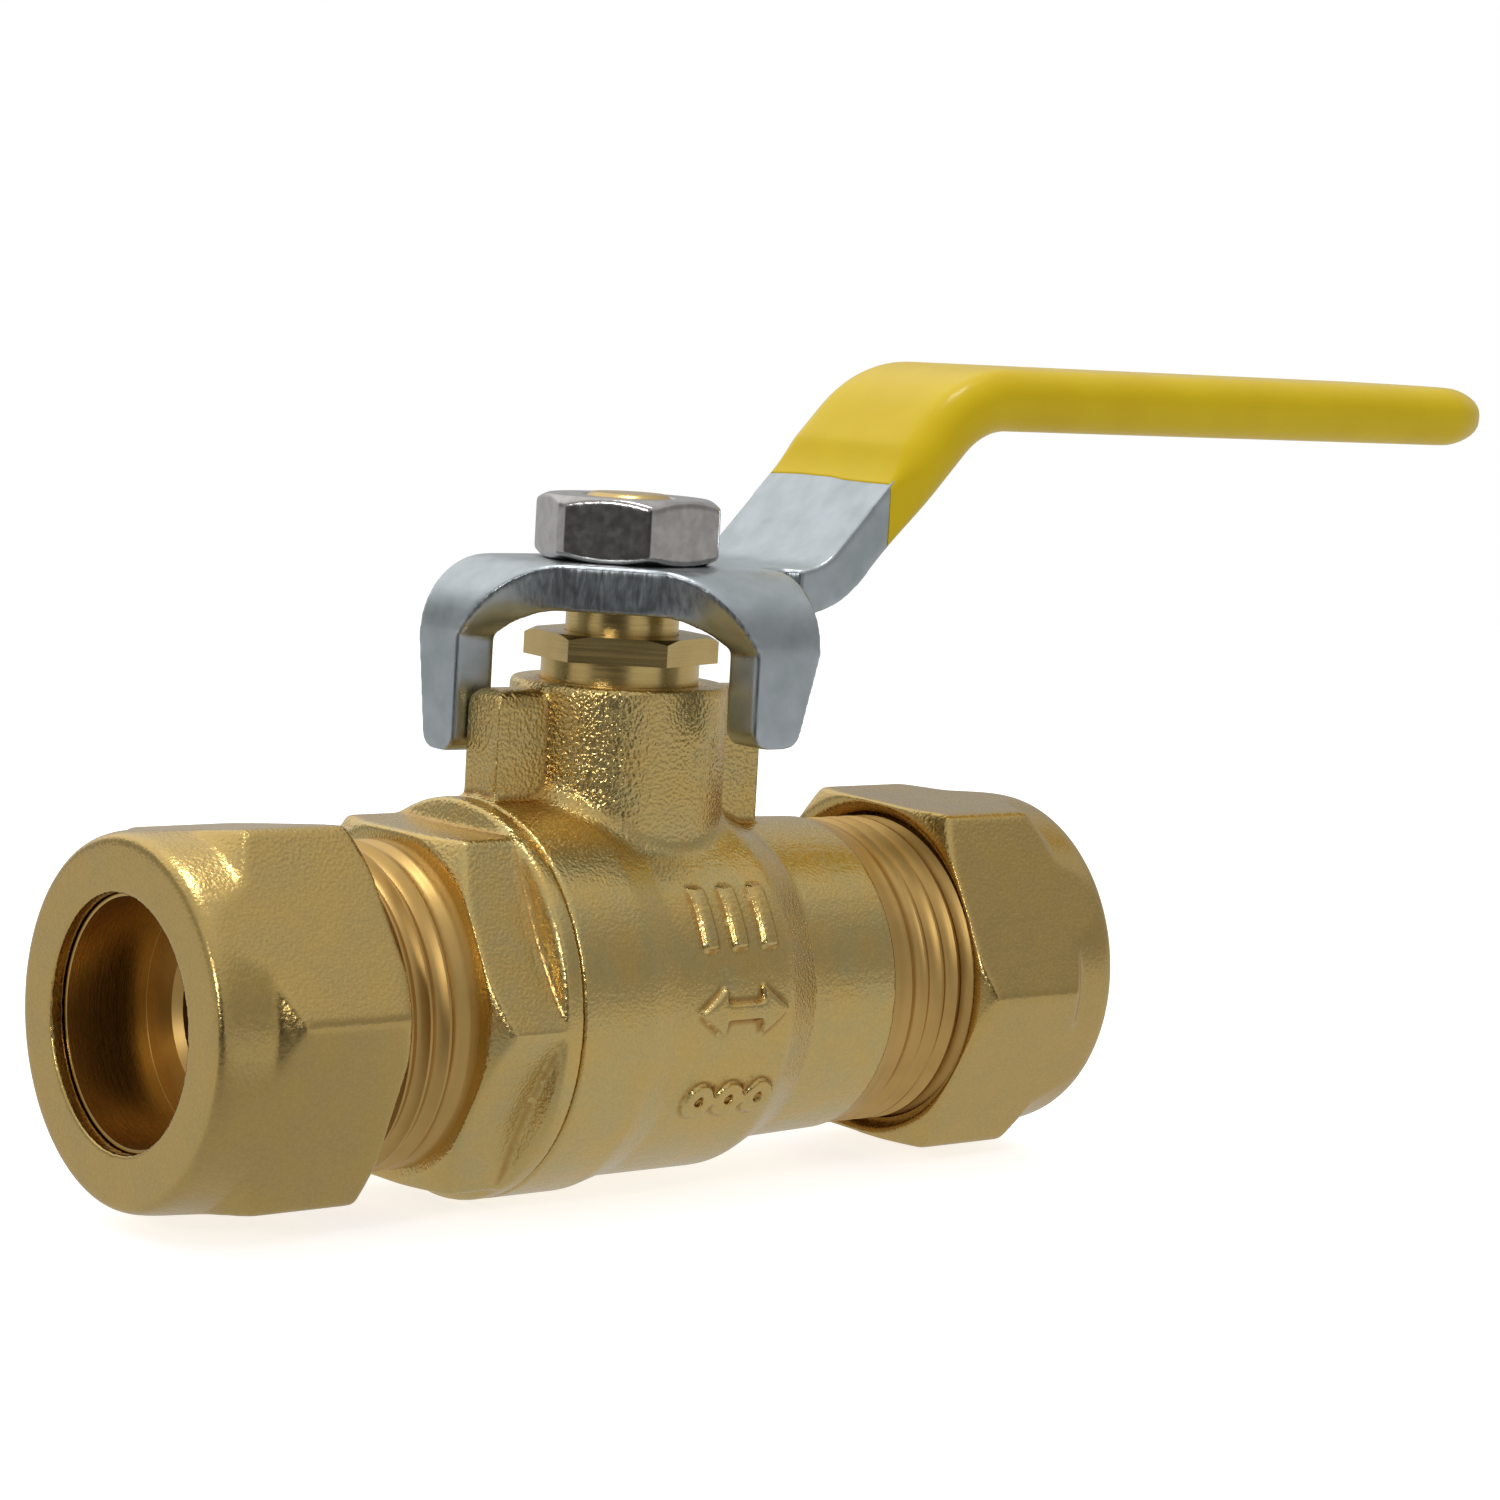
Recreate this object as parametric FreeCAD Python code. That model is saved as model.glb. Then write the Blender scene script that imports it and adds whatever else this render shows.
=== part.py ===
import FreeCAD, Part
import math
import os

# Lever ball valve with two compression ends for 15 mm tube.  Millimetres, +Z up.
# Origin: centre of the ball, where the pipe axis (X) crosses the stem axis (Z).
# The valve is open: the port and the lever both lie along X, with the lever's grip towards +X.

# --- waterway and tube sockets ---
PORT_RADIUS = 5.0
TUBE_SOCKET_RADIUS = 7.6
TUBE_STOP_DEPTH = 11.95          # from the start of the nut thread to the tube stop

# --- compression ends, measured along the axis from the start of the nut thread ---
LEFT_SHOULDER_X = -17.4
RIGHT_SHOULDER_X = 16.3
THREAD_RADIUS = 10.36
THREAD_PITCH = 1.411
THREAD_DEPTH = 0.80
THREAD_LENGTH = 13.8
SEAT_CONE_RADIUS = 9.0
SEAT_CONE_LENGTH = 1.35
OLIVE_START = 12.5
OLIVE_LENGTH = 5.35
OLIVE_RADIUS = 8.5
OLIVE_SEAT_TAPER = 0.85          # at the end that seats in the body
OLIVE_SEAT_RADIUS = 7.62
OLIVE_NUT_TAPER = 1.35           # at the end that the nut presses
OLIVE_NUT_RADIUS = 7.92
NUT_START = 6.05
NUT_LENGTH = 13.1
NUT_ACROSS_FLATS = 23.0
NUT_CORNER_RADIUS = 13.15
NUT_FACE_RADIUS = 11.5
NUT_BARREL_LENGTH = 3.7          # the turned zone between the outer face and the corner chamfers
NUT_BARREL_RADIUS = 11.85        # at the end of that zone
NUT_CHAMFER_LENGTH = 1.25
NUT_BORE_RADIUS = 10.45
NUT_LIP = 0.9
LEFT_NUT_TURN = 7.0              # degrees about the pipe axis
RIGHT_NUT_TURN = -1.5

# --- body ---
BODY_RADIUS = 12.8
BODY_SEAM_X = -11.15
BODY_TAPER_START_X = -5.8
BODY_TAPER_END_X = -3.1
WAIST_RADIUS = 12.15
WAIST_END_X = 5.8
NECK_START_X = 9.2
NECK_START_RADIUS = 10.75
NECK_RADIUS = 10.55
CAVITY_RADIUS = 9.2
CAP_THREAD_RADIUS = 10.7
CAP_THREAD_END_X = -5.5
SEAL_THICKNESS = 0.5
CAP_HEX_RADIUS = 12.8
CAP_HEX_END_X = -13.1
CAP_COLLAR_X = -12.5

# --- boss, stop lugs and marks ---
BOSS_RADIUS = 7.07
BOSS_TOP_Z = 20.1
BOSS_FOOT_FILLET = 1.6
LUG_REACH = 10.75
LUG_WIDTH = 3.4
LUG_TOP_Z = 19.7
MARK_HEIGHT = 0.45
MARK_CENTRE_X = 1.9
MARK_SPACING = 2.4

# --- ball and seats ---
BALL_RADIUS = 8.3
SEAT_INNER_RADIUS = 5.3
SEAT_OUTER_RADIUS = 8.5
SEAT_NEAR_X = 5.0
SEAT_FAR_X = 8.3
TANG_WIDTH = 3.0
TANG_REACH = 3.5
TANG_BOTTOM_Z = 5.7

# --- stem, packing and gland ---
STEM_RADIUS = 3.67
STEM_FLANGE_RADIUS = 4.9
STEM_FLANGE_BOTTOM_Z = 8.4
STEM_FLANGE_TOP_Z = 9.7
THRUST_WASHER_TOP_Z = 10.3
STUFFING_BOTTOM_Z = 14.6
STUFFING_RADIUS = 5.13
PACKING_HEIGHT = 1.5
O_RING_Z = 12.4
O_RING_THICKNESS = 1.0
GLAND_HEX_BOTTOM_Z = 21.5
GLAND_HEX_TOP_Z = 23.2
GLAND_CORNER_RADIUS = 6.3
GLAND_TURN = 20.0
STEM_THREAD_RADIUS = 3.0
STEM_TOP_Z = 32.2
STEM_FLATS = 5.4
RUNNING_CLEARANCE = 0.05

# --- lever ---
SHEET = 3.0
PLATE_TOP_Z = 27.8
LEVER_WIDTH = 12.5
HEAD_REACH = 11.7
BEND_OUTER_RADIUS = 5.0
CORNER_CUT = 9.8                 # the head's corner is cut along x + y = -CORNER_CUT
REAR_WING_BOTTOM_Z = 15.4
SIDE_WING_BOTTOM_Z = 16.8
SIDE_WING_EDGE_X = 7.1
RAMP_ANGLE = 46.0
RAMP_FOOT_X = 12.1
GRIP_CENTRE_Z = 39.2
GRIP_END_X = 78.0
FOOT_BEND_RADIUS = 5.5
HEAD_BEND_RADIUS = 8.0
GRIP_CORNER_RADIUS = 6.2
VINYL = 0.62
VINYL_START_X = 16.9
LEVER_NUT_TOP_Z = 32.0
LEVER_NUT_ACROSS_FLATS = 10.8
LEVER_NUT_CORNER_RADIUS = 6.1
LEVER_NUT_TURN = 8.0

ORIGIN = FreeCAD.Vector(0, 0, 0)
X_AXIS = FreeCAD.Vector(1, 0, 0)
Y_AXIS = FreeCAD.Vector(0, 1, 0)
Z_AXIS = FreeCAD.Vector(0, 0, 1)


def in_xz(a, b):
    """Place a 2-D point in the XZ plane: a along X, b along Z."""
    return FreeCAD.Vector(a, 0, b)


def in_zx(a, b):
    """Place a 2-D point in the XZ plane: a along Z, b along X, for profiles turned about Z."""
    return FreeCAD.Vector(b, 0, a)


def in_xy(a, b):
    """Place a 2-D point in the XY plane."""
    return FreeCAD.Vector(a, b, 0)


def outline(points, place):
    """A closed face from (a, b) or (a, b, corner radius) points, with round corners as tangent arcs."""
    corners = []
    count = len(points)
    for index, point in enumerate(points):
        here = place(point[0], point[1])
        radius = point[2] if len(point) > 2 else 0.0
        if radius == 0.0:
            corners.append((here, None, here))
            continue
        before = place(*points[index - 1][:2])
        after = place(*points[(index + 1) % count][:2])
        back = (before - here).normalize()
        ahead = (after - here).normalize()
        half = back.getAngle(ahead) / 2.0
        reach = radius / math.tan(half)
        middle = (back + ahead).normalize()
        centre = here + middle * (radius / math.sin(half))
        corners.append((here + back * reach, centre - middle * radius, here + ahead * reach))
    edges = []
    for index, (start, mid, end) in enumerate(corners):
        if mid is not None:
            edges.append(Part.Arc(start, mid, end).toShape())
        following = corners[(index + 1) % count][0]
        if end.distanceToPoint(following) > 1e-7:
            edges.append(Part.LineSegment(end, following).toShape())
    return Part.Face(Part.Wire(Part.__sortEdges__(edges)))


def turn_about_x(points):
    """A solid of revolution about X from (x, radius) points."""
    return outline(points, in_xz).revolve(ORIGIN, X_AXIS, 360)


def turn_about_z(points):
    """A solid of revolution about Z from (z, radius) points."""
    return outline(points, in_zx).revolve(ORIGIN, Z_AXIS, 360)


def rod_x(start, end, radius):
    return Part.makeCylinder(radius, end - start, FreeCAD.Vector(start, 0, 0), X_AXIS)


def rod_z(bottom, top, radius):
    return Part.makeCylinder(radius, top - bottom, FreeCAD.Vector(0, 0, bottom), Z_AXIS)


def ring_x(start, end, inner, outer):
    return rod_x(start, end, outer).cut(rod_x(start, end, inner))


def ring_z(bottom, top, inner, outer):
    return rod_z(bottom, top, outer).cut(rod_z(bottom, top, inner))


def block(low, high):
    """A box between two corners."""
    size = [b - a for a, b in zip(low, high)]
    return Part.makeBox(size[0], size[1], size[2], FreeCAD.Vector(*low))


def hexagon_x(start, end, corner_radius, turn):
    """A hexagonal bar along X with a corner towards -Y, turned about X by turn degrees."""
    points = []
    for step in range(6):
        angle = math.radians(turn + 60.0 * step)
        points.append(FreeCAD.Vector(start, -corner_radius * math.cos(angle), corner_radius * math.sin(angle)))
    face = Part.Face(Part.makePolygon(points + points[:1]))
    return face.extrude(FreeCAD.Vector(end - start, 0, 0))


def hexagon_z(bottom, top, corner_radius, turn):
    """A hexagonal bar along Z with a corner towards +X, turned about Z by turn degrees."""
    points = []
    for step in range(6):
        angle = math.radians(turn + 60.0 * step)
        points.append(FreeCAD.Vector(corner_radius * math.cos(angle), corner_radius * math.sin(angle), bottom))
    face = Part.Face(Part.makePolygon(points + points[:1]))
    return face.extrude(FreeCAD.Vector(0, 0, top - bottom))


def mirrored_end(shape, side):
    """Turn a compression end built towards +X round to the left side when side is -1."""
    if side > 0:
        return shape
    return shape.mirror(ORIGIN, X_AXIS)


def shoulder(side):
    """Distance of the start of the nut thread from the valve's centre."""
    return RIGHT_SHOULDER_X if side > 0 else -LEFT_SHOULDER_X


def threaded_spigot(side):
    """The solid threaded end of a body, with its ridges as rings at the thread's pitch."""
    start = shoulder(side)
    end = start + THREAD_LENGTH
    root = THREAD_RADIUS - THREAD_DEPTH
    crest_half = THREAD_PITCH * 0.07
    root_half = THREAD_PITCH * 0.10
    points = [(start - 0.5, 0.0), (start - 0.5, THREAD_RADIUS)]
    turns = int((THREAD_LENGTH - THREAD_PITCH) / THREAD_PITCH)
    for turn in range(turns):
        crest = start + THREAD_PITCH * (turn + 0.85)
        if turn > 0:
            points.append((crest - crest_half, THREAD_RADIUS))
        points.append((crest + crest_half, THREAD_RADIUS))
        if turn < turns - 1:
            valley = crest + THREAD_PITCH / 2.0
            points.append((valley - root_half, root))
            points.append((valley + root_half, root))
    points += [(end - 0.9, root), (end, root - 0.1), (end, 0.0)]
    return mirrored_end(turn_about_x(points), side)


def tube_entry(side):
    """The space inside a threaded end: waterway, tube socket and the cone that the olive seats in."""
    start = shoulder(side)
    stop = start + TUBE_STOP_DEPTH
    end = start + THREAD_LENGTH
    points = [
        (start - 12.0, 0.0), (start - 12.0, PORT_RADIUS), (stop - 0.5, PORT_RADIUS),
        (stop, PORT_RADIUS + 0.5), (stop, TUBE_SOCKET_RADIUS), (end - SEAT_CONE_LENGTH, TUBE_SOCKET_RADIUS),
        (end, SEAT_CONE_RADIUS), (end + 1.0, SEAT_CONE_RADIUS), (end + 1.0, 0.0),
    ]
    return mirrored_end(turn_about_x(points), side)


def compression_nut(side, turn):
    """A hexagon nut whose outer end is turned round, with corner chamfers and a lip that holds the olive."""
    start = shoulder(side) + NUT_START
    end = start + NUT_LENGTH
    flat_radius = NUT_ACROSS_FLATS / 2.0
    sharp_corner = flat_radius / math.cos(math.radians(30.0))
    turned = turn_about_x([
        (start, 0.0), (start, flat_radius + 0.35), (start + 0.8, NUT_CORNER_RADIUS),
        (end - NUT_BARREL_LENGTH - NUT_CHAMFER_LENGTH, NUT_CORNER_RADIUS),
        (end - NUT_BARREL_LENGTH, NUT_BARREL_RADIUS), (end - 0.9, NUT_FACE_RADIUS, 0.6),
        (end, NUT_FACE_RADIUS - 0.25, 0.55), (end, 0.0),
    ])
    bar = hexagon_x(start, end, sharp_corner, turn)
    cone_end = end - NUT_LIP
    cone_start = cone_end - 2.1
    inside = turn_about_x([
        (start - 1.0, 0.0), (start - 1.0, NUT_BORE_RADIUS + 0.9), (start, NUT_BORE_RADIUS + 0.9),
        (start + 0.9, NUT_BORE_RADIUS), (cone_start - 0.9, NUT_BORE_RADIUS), (cone_start, 9.1),
        (cone_end, 7.95), (cone_end, TUBE_SOCKET_RADIUS), (end - 0.2, TUBE_SOCKET_RADIUS),
        (end, TUBE_SOCKET_RADIUS + 0.2), (end + 1.0, TUBE_SOCKET_RADIUS + 0.2), (end + 1.0, 0.0),
    ])
    return mirrored_end(turned.common(bar).cut(inside), side)


def olive(side):
    """The brass compression ring, tapered at both ends."""
    start = shoulder(side) + OLIVE_START
    end = start + OLIVE_LENGTH
    body = turn_about_x([
        (start, 0.0), (start, OLIVE_SEAT_RADIUS), (start + OLIVE_SEAT_TAPER, OLIVE_RADIUS, 0.5),
        (end - OLIVE_NUT_TAPER, OLIVE_RADIUS, 0.8), (end, OLIVE_NUT_RADIUS), (end, 0.0),
    ])
    return mirrored_end(body.cut(rod_x(start - 1.0, end + 1.0, TUBE_SOCKET_RADIUS)), side)


def stop_lug(side):
    """One of the two upright lugs beside the boss that stop the lever, with round top edges."""
    reach = LUG_REACH * side
    foot = 4.0 * side
    lug = block((min(foot, reach), -LUG_WIDTH / 2, 9.0), (max(foot, reach), LUG_WIDTH / 2, LUG_TOP_Z))
    rounded = []
    for edge in lug.Edges:
        box = edge.BoundBox
        on_top = box.ZMin > LUG_TOP_Z - 0.01
        on_foot = abs(box.XMin - foot) < 0.01 and abs(box.XMax - foot) < 0.01
        if on_top and not on_foot:
            rounded.append(edge)
    return lug.makeFillet(1.05, rounded)


def raised_marks():
    """Plain cast marks on the front of the waist: a two-way flow arrow between a row of bars and a row of rings."""
    depth = 8.0
    low_y = -WAIST_RADIUS - 2.0
    shapes = []
    for column in range(3):
        x = MARK_CENTRE_X + MARK_SPACING * (column - 1)
        shapes.append(block((x - 0.5, low_y, 4.3), (x + 0.5, low_y + depth, 7.9)))
        outer = Part.makeCylinder(1.1, depth, FreeCAD.Vector(x, low_y, -5.6), Y_AXIS)
        inner = Part.makeCylinder(0.35, depth, FreeCAD.Vector(x, low_y, -5.6), Y_AXIS)
        shapes.append(outer.cut(inner))
    shapes.append(block((MARK_CENTRE_X - 2.0, low_y, -0.2), (MARK_CENTRE_X + 2.0, low_y + depth, 0.8)))
    for side in (-1, 1):
        tip = MARK_CENTRE_X + 3.5 * side
        back = MARK_CENTRE_X + 1.5 * side
        head = [FreeCAD.Vector(x, low_y, z) for x, z in ((tip, 0.3), (back, 1.9), (back, -1.3))]
        shapes.append(Part.Face(Part.makePolygon(head + head[:1])).extrude(FreeCAD.Vector(0, depth, 0)))
    stencil = shapes[0].multiFuse(shapes[1:])
    shell = ring_x(BODY_TAPER_END_X + 0.2, WAIST_END_X, WAIST_RADIUS - 0.6, WAIST_RADIUS + MARK_HEIGHT)
    return stencil.common(shell)


def boss_foot_edges(shape):
    """The edges where the boss cylinder meets the body."""
    found = []
    for edge in shape.Edges:
        on_boss = True
        for parameter in (0.1, 0.5, 0.9):
            first, last = edge.ParameterRange
            point = edge.valueAt(first + (last - first) * parameter)
            radius = math.hypot(point.x, point.y)
            if abs(radius - BOSS_RADIUS) > 0.01 or not 6.0 < point.z < BODY_RADIUS + 0.1:
                on_boss = False
        vertical = edge.BoundBox.XLength < 0.01 and edge.BoundBox.YLength < 0.01
        if on_boss and not vertical:
            found.append(edge)
    return found


def valve_body():
    """The main forging: ball chamber, waist, right threaded end, stem boss, stop lugs and marks."""
    barrel = turn_about_x([
        (BODY_SEAM_X, 0.0), (BODY_SEAM_X, BODY_RADIUS - 0.1), (BODY_SEAM_X + 0.1, BODY_RADIUS),
        (BODY_TAPER_START_X, BODY_RADIUS, 2.0), (BODY_TAPER_END_X, WAIST_RADIUS, 0.5),
        (WAIST_END_X, WAIST_RADIUS, 2.4), (NECK_START_X, NECK_START_RADIUS),
        (RIGHT_SHOULDER_X, NECK_RADIUS),
        (RIGHT_SHOULDER_X, 0.0),
    ])
    boss = rod_z(0.0, BOSS_TOP_Z, BOSS_RADIUS)
    body = barrel.fuse(boss)
    body = body.makeFillet(BOSS_FOOT_FILLET, boss_foot_edges(body))
    rim = [e for e in body.Edges if e.BoundBox.ZMin > BOSS_TOP_Z - 0.01]
    body = body.makeFillet(0.35, rim)
    body = body.multiFuse([stop_lug(-1), stop_lug(1), raised_marks(), threaded_spigot(1)])
    chamber = turn_about_x([
        (BODY_SEAM_X - 1.0, 0.0), (BODY_SEAM_X - 1.0, CAP_THREAD_RADIUS), (CAP_THREAD_END_X, CAP_THREAD_RADIUS),
        (CAP_THREAD_END_X, CAVITY_RADIUS), (SEAT_NEAR_X, CAVITY_RADIUS), (SEAT_NEAR_X, SEAT_OUTER_RADIUS),
        (SEAT_FAR_X, SEAT_OUTER_RADIUS), (SEAT_FAR_X, 0.0),
    ])
    stem_way = turn_about_z([
        (0.0, 0.0), (0.0, STEM_FLANGE_RADIUS + 0.1), (THRUST_WASHER_TOP_Z, STEM_FLANGE_RADIUS + 0.1),
        (THRUST_WASHER_TOP_Z, STEM_RADIUS + RUNNING_CLEARANCE),
        (STUFFING_BOTTOM_Z, STEM_RADIUS + RUNNING_CLEARANCE), (STUFFING_BOTTOM_Z, STUFFING_RADIUS),
        (BOSS_TOP_Z - 0.3, STUFFING_RADIUS), (BOSS_TOP_Z, STUFFING_RADIUS + 0.3),
        (BOSS_TOP_Z + 1.0, STUFFING_RADIUS + 0.3), (BOSS_TOP_Z + 1.0, 0.0),
    ])
    return body.cut(chamber).cut(stem_way).cut(tube_entry(1)).removeSplitter()


def end_cap():
    """The screwed-in left half of the body: spigot, collar, spanner hexagon and left threaded end."""
    spigot_end = CAP_THREAD_END_X - SEAL_THICKNESS
    collar = turn_about_x([
        (CAP_HEX_END_X, 0.0), (CAP_HEX_END_X, 11.0), (CAP_COLLAR_X, BODY_RADIUS, 0.3),
        (BODY_SEAM_X - 0.1, BODY_RADIUS), (BODY_SEAM_X, BODY_RADIUS - 0.1), (BODY_SEAM_X, CAP_THREAD_RADIUS),
        (spigot_end - 0.3, CAP_THREAD_RADIUS), (spigot_end, CAP_THREAD_RADIUS - 0.3), (spigot_end, 0.0),
    ])
    bar = hexagon_x(LEFT_SHOULDER_X, CAP_COLLAR_X, CAP_HEX_RADIUS, 0.0)
    chamfer = turn_about_x([
        (LEFT_SHOULDER_X, 0.0), (LEFT_SHOULDER_X, 11.2), (LEFT_SHOULDER_X + 1.1, CAP_HEX_RADIUS + 0.05),
        (CAP_COLLAR_X, CAP_HEX_RADIUS + 0.05), (CAP_COLLAR_X, 0.0),
    ])
    cap = collar.multiFuse([bar.common(chamfer), threaded_spigot(-1)])
    pocket = rod_x(-SEAT_FAR_X, spigot_end + 1.0, SEAT_OUTER_RADIUS)
    return cap.cut(pocket).cut(tube_entry(-1)).removeSplitter()


def body_seal_ring():
    return ring_x(CAP_THREAD_END_X - SEAL_THICKNESS, CAP_THREAD_END_X, CAVITY_RADIUS, CAP_THREAD_RADIUS - 0.1)


def seat_ring(side):
    """A PTFE seat with a spherical face that the ball runs on."""
    ring = ring_x(SEAT_NEAR_X, SEAT_FAR_X, SEAT_INNER_RADIUS, SEAT_OUTER_RADIUS)
    return mirrored_end(ring.cut(Part.makeSphere(BALL_RADIUS + 0.03)), side)


def ball():
    """The ball with its port and the slot across its top for the stem's tang."""
    sphere = Part.makeSphere(BALL_RADIUS)
    port = rod_x(-BALL_RADIUS - 1.0, BALL_RADIUS + 1.0, PORT_RADIUS)
    half = TANG_WIDTH / 2.0 + RUNNING_CLEARANCE
    slot = block((-half, -BALL_RADIUS, TANG_BOTTOM_Z - 0.15), (half, BALL_RADIUS, BALL_RADIUS + 1.0))
    return sphere.cut(port).cut(slot)


def stem():
    """The stem: tang, retaining flange, o-ring groove, shank, flats for the lever and threaded top."""
    groove = STEM_RADIUS - 0.75
    half_ring = O_RING_THICKNESS / 2.0 + 0.05
    shank_top = PLATE_TOP_Z - SHEET
    flats_top = PLATE_TOP_Z
    turned = turn_about_z([
        (STEM_FLANGE_BOTTOM_Z, 0.0), (STEM_FLANGE_BOTTOM_Z, STEM_FLANGE_RADIUS),
        (STEM_FLANGE_TOP_Z, STEM_FLANGE_RADIUS), (STEM_FLANGE_TOP_Z, STEM_RADIUS),
        (O_RING_Z - half_ring, STEM_RADIUS), (O_RING_Z - half_ring, groove), (O_RING_Z + half_ring, groove),
        (O_RING_Z + half_ring, STEM_RADIUS), (flats_top, STEM_RADIUS), (flats_top, STEM_THREAD_RADIUS),
        (STEM_TOP_Z - 0.45, STEM_THREAD_RADIUS), (STEM_TOP_Z, STEM_THREAD_RADIUS - 0.6, 0.5),
        (STEM_TOP_Z, 0.0),
    ])
    reach = STEM_RADIUS + 1.0
    for side in (-1, 1):
        flat = STEM_FLATS / 2.0 * side
        turned = turned.cut(block((-reach, min(flat, reach * side), shank_top),
                                  (reach, max(flat, reach * side), flats_top)))
    tang = block((-TANG_WIDTH / 2, -TANG_REACH, TANG_BOTTOM_Z), (TANG_WIDTH / 2, TANG_REACH, 9.0))
    inside_flange = rod_z(TANG_BOTTOM_Z, 9.0, STEM_FLANGE_RADIUS)
    return turned.fuse(tang.common(inside_flange)).removeSplitter()


def stem_o_ring():
    section = O_RING_THICKNESS / 2.0
    bottom = O_RING_Z - section
    return ring_z(bottom, bottom + O_RING_THICKNESS, STEM_RADIUS - 0.75, STEM_RADIUS + 0.02)


def stem_thrust_washer():
    inner = STEM_RADIUS + RUNNING_CLEARANCE
    return ring_z(STEM_FLANGE_TOP_Z + 0.03, THRUST_WASHER_TOP_Z, inner, STEM_FLANGE_RADIUS)


def packing_ring(level):
    bottom = STUFFING_BOTTOM_Z + level * PACKING_HEIGHT
    return ring_z(bottom, bottom + PACKING_HEIGHT, STEM_RADIUS + 0.02, STUFFING_RADIUS)


def gland_nut():
    """The screwed gland that presses on the packing, with a thin hexagon above the boss."""
    bottom = STUFFING_BOTTOM_Z + 2 * PACKING_HEIGHT
    sleeve = rod_z(bottom, GLAND_HEX_BOTTOM_Z, STUFFING_RADIUS)
    bar = hexagon_z(GLAND_HEX_BOTTOM_Z, GLAND_HEX_TOP_Z, GLAND_CORNER_RADIUS, GLAND_TURN)
    crown = turn_about_z([
        (GLAND_HEX_BOTTOM_Z, 0.0), (GLAND_HEX_BOTTOM_Z, GLAND_CORNER_RADIUS),
        (GLAND_HEX_TOP_Z - 0.3, GLAND_CORNER_RADIUS), (GLAND_HEX_TOP_Z, GLAND_CORNER_RADIUS - 0.6),
        (GLAND_HEX_TOP_Z, 0.0),
    ])
    bore = rod_z(bottom - 1.0, GLAND_HEX_TOP_Z + 1.0, STEM_RADIUS + RUNNING_CLEARANCE)
    return sleeve.fuse(bar.common(crown)).cut(bore).removeSplitter()


def lever_band(low, high, start, end, half_width):
    """The lever's strip from plate to grip, between two offsets from its middle surface."""
    bend = math.radians(RAMP_ANGLE)
    shift = math.tan(bend / 2.0)
    plate_z = PLATE_TOP_Z - SHEET / 2.0
    top_x = RAMP_FOOT_X + (GRIP_CENTRE_Z - plate_z) / math.tan(bend)
    points = [
        (start, plate_z + low), (RAMP_FOOT_X - low * shift, plate_z + low, FOOT_BEND_RADIUS - low),
        (top_x - low * shift, GRIP_CENTRE_Z + low, HEAD_BEND_RADIUS + low), (end, GRIP_CENTRE_Z + low),
        (end, GRIP_CENTRE_Z + high), (top_x - high * shift, GRIP_CENTRE_Z + high, HEAD_BEND_RADIUS + high),
        (RAMP_FOOT_X - high * shift, plate_z + high, FOOT_BEND_RADIUS - high), (start, plate_z + high),
    ]
    face = outline(points, in_xz)
    face.translate(FreeCAD.Vector(0, -half_width, 0))
    return face.extrude(FreeCAD.Vector(0, 2 * half_width, 0))


def bend_face(angle, low_reach, edge_y):
    """A flat face in the radial plane of the rear bend at an angle from upright, up to edge_y."""
    centre_x = BEND_OUTER_RADIUS - HEAD_REACH
    centre_z = PLATE_TOP_Z - BEND_OUTER_RADIUS
    outward = FreeCAD.Vector(-math.sin(angle), 0, math.cos(angle))
    centre = FreeCAD.Vector(centre_x, 0, centre_z)
    inner = centre + outward * 1.0
    outer = centre + outward * (BEND_OUTER_RADIUS + 1.5)
    corners = [
        inner + Y_AXIS * low_reach, outer + Y_AXIS * low_reach, outer + Y_AXIS * edge_y, inner + Y_AXIS * edge_y,
    ]
    return Part.makePolygon(corners + corners[:1])


def head_wing(bottom_z, top_edge, bottom_edge):
    """The rear wing: the bend and the flat that hangs down from it, from the corner cut to its far edge."""
    reach = HEAD_REACH
    inner = reach - SHEET
    bend = BEND_OUTER_RADIUS
    centre_x = bend - reach
    section = outline([
        (centre_x, PLATE_TOP_Z), (-reach, PLATE_TOP_Z, bend), (-reach, bottom_z), (-inner, bottom_z),
        (-inner, PLATE_TOP_Z - SHEET, bend - SHEET), (centre_x, PLATE_TOP_Z - SHEET),
    ], in_xz)
    low_y = -reach
    section.translate(FreeCAD.Vector(0, low_y, 0))
    wing = section.extrude(FreeCAD.Vector(0, top_edge - low_y, 0))
    bend_start_y = reach - bend - CORNER_CUT
    bend_arc = (bend - SHEET / 2.0) * math.pi / 2.0
    steps = 6
    wires = []
    for step in range(steps + 1):
        part = step / steps
        wires.append(bend_face(math.pi / 2.0 * part, low_y - 1.0, bend_start_y + bend_arc * part * 0.9))
    corner_cut = Part.makeLoft(wires, True, False)
    front_edge = bend_start_y + bend_arc * 0.9
    below = block((-reach - 1.0, low_y - 1.0, bottom_z - 1.0), (-inner + 1.0, front_edge, PLATE_TOP_Z - bend))
    side = Part.Face(Part.makePolygon([
        FreeCAD.Vector(-reach - 1.0, top_edge, PLATE_TOP_Z - bend),
        FreeCAD.Vector(-reach - 1.0, bottom_edge, bottom_z - 0.001),
        FreeCAD.Vector(-reach - 1.0, top_edge + 2.0, bottom_z - 0.001),
        FreeCAD.Vector(-reach - 1.0, top_edge, PLATE_TOP_Z - bend),
    ])).extrude(FreeCAD.Vector(SHEET + 2.0, 0, 0))
    wing = wing.cut(corner_cut).cut(below).cut(side)
    corner = [e for e in wing.Edges if e.BoundBox.ZMax < bottom_z + 0.01 and e.BoundBox.XLength > SHEET - 0.1]
    return wing.makeFillet(1.2, corner)


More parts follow.
